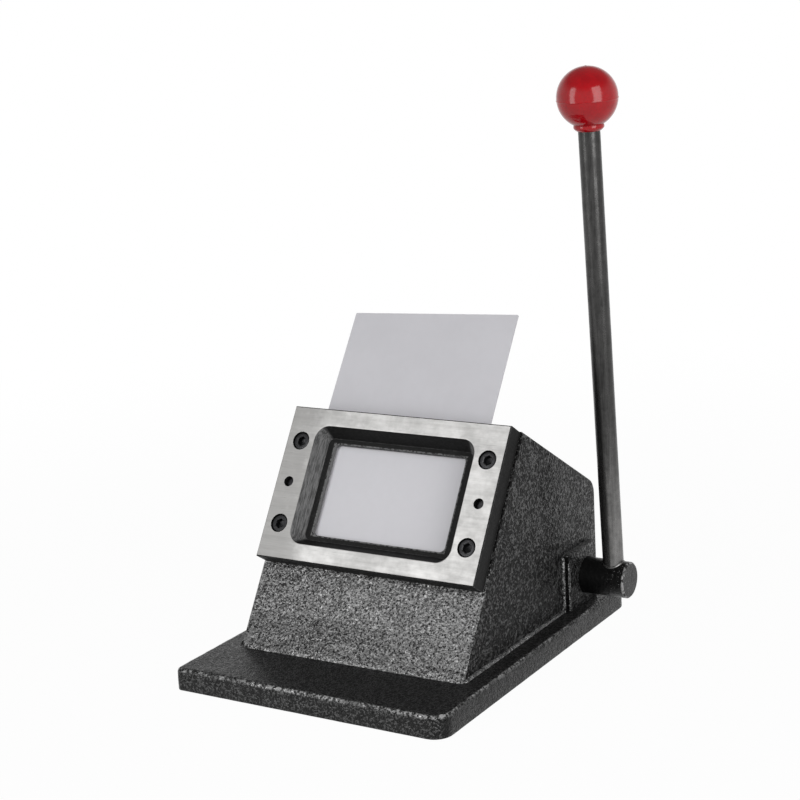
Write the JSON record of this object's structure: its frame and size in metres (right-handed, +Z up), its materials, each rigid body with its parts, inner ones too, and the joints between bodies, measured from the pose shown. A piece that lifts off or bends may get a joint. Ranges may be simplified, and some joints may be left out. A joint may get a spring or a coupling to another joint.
{
  "type": "card die cutter",
  "caption": "Desk-top hand press that punches an ID-size card from a plastic sheet, with a leaning die plate, a cam shaft and a side lever with a ball knob.",
  "frame": {"origin": "centre of the base plate's underside", "axes": "+Z up, -Y towards the operator (the die faces -Y), +X towards the lever"},
  "size_m": [0.1936, 0.22, 0.3203],
  "materials": {
    "hammertone_paint": "black hammertone enamel with a fine dimpled texture",
    "ground_die_steel": "surface-ground tool steel, lightly worn",
    "black_oxide": "black oxide, oiled",
    "bright_steel": "bright ground steel",
    "tool_steel": "machined tool steel",
    "spring_steel": "plain spring wire",
    "bronze": "sintered bronze",
    "painted_shaft": "dark enamel over turned steel",
    "dark_lever_steel": "dark drawn steel with lengthways streaks",
    "red_phenolic": "polished red phenolic",
    "brass": "turned brass",
    "white_pvc": "plain white sheet, satin"
  },
  "bodies": {
    "frame": {"base_plate": "hammertone_paint", "right_side_plate": "hammertone_paint", "left_side_plate": "hammertone_paint", "front_panel": "hammertone_paint", "roof_cover": "hammertone_paint", "rear_cover": "hammertone_paint", "rear_cover_screws": "black_oxide", "cover_lugs": "hammertone_paint", "housing_welds": "hammertone_paint", "right_bearing_boss": "hammertone_paint", "left_bearing_boss": "hammertone_paint", "right_bush": "bronze", "left_bush": "bronze", "die_plate": "ground_die_steel", "die_screws": "black_oxide", "dowel_pins": "black_oxide", "slot_spacers": "tool_steel", "guide_plate": "tool_steel", "guide_posts": "bright_steel", "post_washers": "bright_steel", "post_nuts": "black_oxide", "return_springs": "spring_steel"},
    "lever": {"cross_shaft": "painted_shaft", "shaft_circlip": "spring_steel", "shaft_washer": "bright_steel", "drive_cam": "tool_steel", "cam_key": "bright_steel", "shaft_spacers": "tool_steel", "spacer_set_screws": "black_oxide", "lever_rod": "dark_lever_steel", "lever_weld": "painted_shaft", "ball_knob": "red_phenolic", "knob_insert": "brass"},
    "ram": {"punch": "tool_steel", "punch_screws": "black_oxide", "ram_plate": "tool_steel", "ram_bushes": "bronze", "stroke_stops": "tool_steel", "push_bar": "tool_steel", "push_bar_screws": "black_oxide", "follower_pad": "tool_steel", "pad_screws": "black_oxide"},
    "sheet": {"pvc_sheet": "white_pvc"},
    "card": {"cut_card": "white_pvc"}
  },
  "joints": [
    {"name": "lever_turn", "type": "hinge", "parent": "frame", "child": "lever", "pos_m": [0, 0.074, 0.0285], "axis": [1, 0, 0], "range_deg": [0, 62]},
    {"name": "ram_slide", "type": "slide", "parent": "frame", "child": "ram", "axis": [0, -0.8387, 0.5446], "range_m": [0, 0.00985], "stiffness_N_per_m": 20000, "springref_m": -0.0015, "deforming": ["return_springs"]},
    {"name": "sheet_slide", "type": "slide", "parent": "frame", "child": "sheet", "axis": [0, 0.5446, 0.8387], "range_m": [0, 0.072]},
    {"name": "card_push", "type": "slide", "parent": "sheet", "child": "card", "axis": [0, -0.8387, 0.5446], "range_m": [0, 0.00985]}
  ],
  "couplings": [
    {"joint": "ram_slide", "follows": "lever_turn", "m_per_rad": 0.009},
    {"joint": "card_push", "follows": "lever_turn", "m_per_rad": 0.009}
  ]
}
